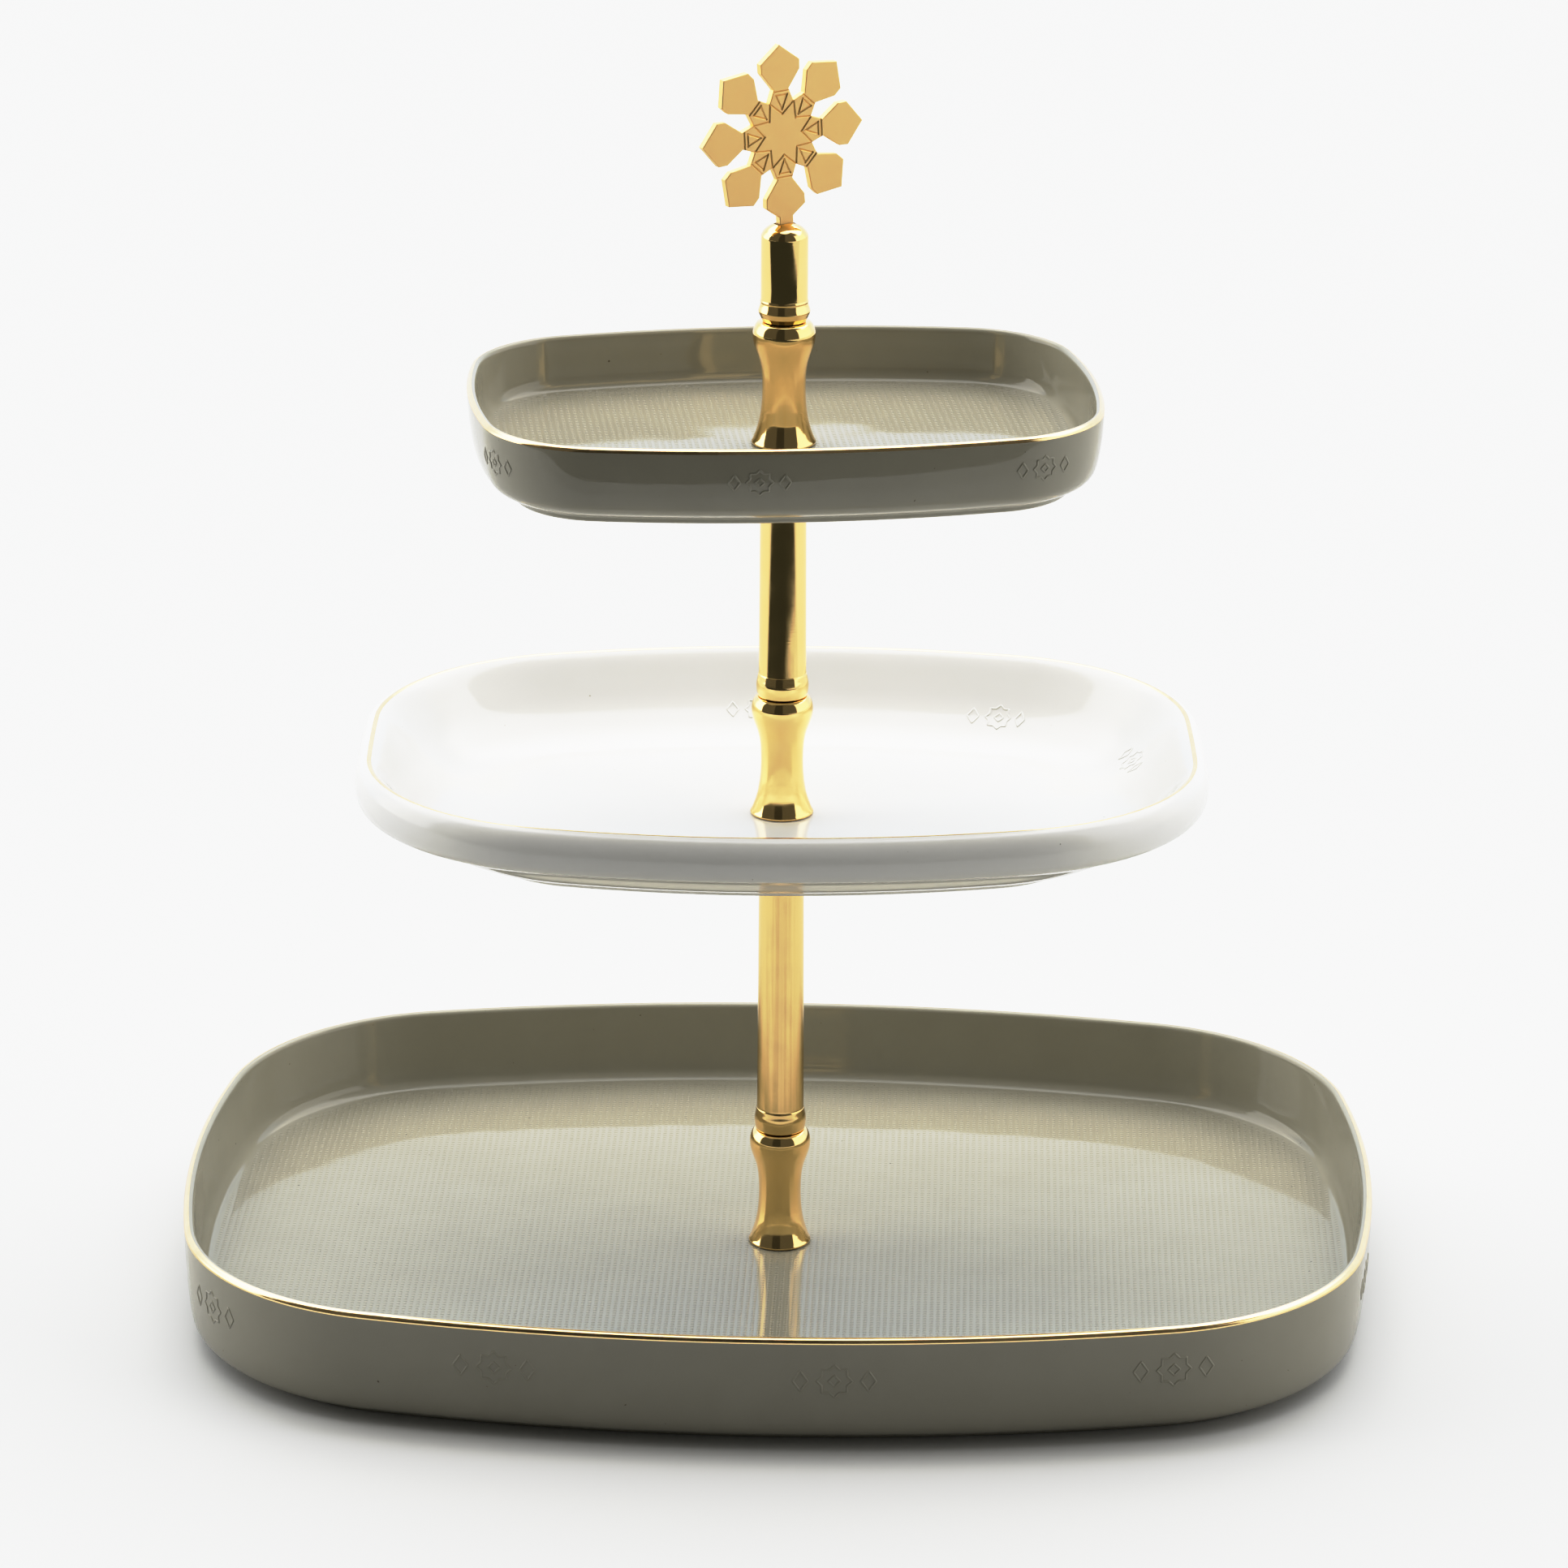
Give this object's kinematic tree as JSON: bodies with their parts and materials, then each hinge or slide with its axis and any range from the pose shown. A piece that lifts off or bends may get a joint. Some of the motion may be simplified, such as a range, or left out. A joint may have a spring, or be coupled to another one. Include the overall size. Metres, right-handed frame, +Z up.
{
  "type": "tiered cake stand",
  "caption": "Tiered serving stand: rounded-rectangular glazed trays clamped one above another on a slim gold column with a rosette finial.",
  "frame": {"origin": "on the column's axis, at the surface that the foot ring stands on", "axes": "+Z up along the column, +X along the long side of the bottom tray, +Y towards the back"},
  "size_m": [0.32, 0.24, 0.3401],
  "materials": {
    "grey_glaze": "gloss",
    "white_glaze": "gloss",
    "gold_plate": "polished",
    "satin_gold": "satin",
    "zinc_steel": "satin",
    "clear_grey_rubber": "matte"
  },
  "bodies": {
    "bottom_tray": {"bottom_tray": "grey_glaze"},
    "lower_column": {"lower_foot_gasket": "clear_grey_rubber", "lower_spool": "gold_plate", "lower_joint_stud": "zinc_steel", "lower_rod": "gold_plate", "middle_tray_stud": "zinc_steel", "middle_support_washer": "gold_plate", "middle_lower_gasket": "clear_grey_rubber"},
    "screw_washers": {"bottom_rubber_washer": "clear_grey_rubber", "bottom_steel_washer": "zinc_steel"},
    "bottom_screw": {"bottom_screw": "zinc_steel"},
    "middle_plate": {"middle_plate": "white_glaze"},
    "middle_clamp_gasket": {"middle_upper_gasket": "clear_grey_rubber"},
    "upper_column": {"middle_spool": "gold_plate", "middle_joint_stud": "zinc_steel", "upper_rod": "gold_plate", "top_tray_stud": "zinc_steel", "top_support_washer": "gold_plate", "top_lower_gasket": "clear_grey_rubber"},
    "top_tray": {"top_tray": "grey_glaze"},
    "top_clamp_gasket": {"top_upper_gasket": "clear_grey_rubber"},
    "finial": {"top_spool": "gold_plate", "finial_stud": "zinc_steel", "finial_ferrule": "gold_plate", "medallion": "satin_gold"}
  },
  "joints": [
    {"name": "column_swivel", "type": "hinge", "parent": "bottom_tray", "child": "lower_column", "pos_m": [0, 0, 0.0084], "axis": [0, 0, 1], "continuous": true},
    {"name": "screw_lower", "type": "slide", "parent": "lower_column", "child": "screw_washers", "axis": [0, 0, -1], "range_m": [0, 0.008]},
    {"name": "screw_turn", "type": "hinge", "parent": "screw_washers", "child": "bottom_screw", "pos_m": [0, 0, 0], "axis": [0, 0, -1], "range_deg": [0, 2880]},
    {"name": "middle_plate_swivel", "type": "hinge", "parent": "lower_column", "child": "middle_plate", "pos_m": [0, 0, 0.1318], "axis": [0, 0, 1], "continuous": true},
    {"name": "middle_clamp_lift", "type": "slide", "parent": "lower_column", "child": "middle_clamp_gasket", "axis": [0, 0, 1], "range_m": [0, 0.008]},
    {"name": "middle_clamp_turn", "type": "hinge", "parent": "middle_clamp_gasket", "child": "upper_column", "pos_m": [0, 0, 0.1318], "axis": [0, 0, 1], "range_deg": [0, 2880]},
    {"name": "top_tray_swivel", "type": "hinge", "parent": "upper_column", "child": "top_tray", "pos_m": [0, 0, 0.2339], "axis": [0, 0, 1], "continuous": true},
    {"name": "top_clamp_lift", "type": "slide", "parent": "upper_column", "child": "top_clamp_gasket", "axis": [0, 0, 1], "range_m": [0, 0.008]},
    {"name": "top_clamp_turn", "type": "hinge", "parent": "top_clamp_gasket", "child": "finial", "pos_m": [0, 0, 0.2339], "axis": [0, 0, 1], "range_deg": [0, 2880]}
  ],
  "couplings": [
    {"joint": "screw_turn", "follows": "screw_lower", "rad_per_m": 6283},
    {"joint": "middle_clamp_turn", "follows": "middle_clamp_lift", "rad_per_m": 6283},
    {"joint": "top_clamp_turn", "follows": "top_clamp_lift", "rad_per_m": 6283}
  ]
}
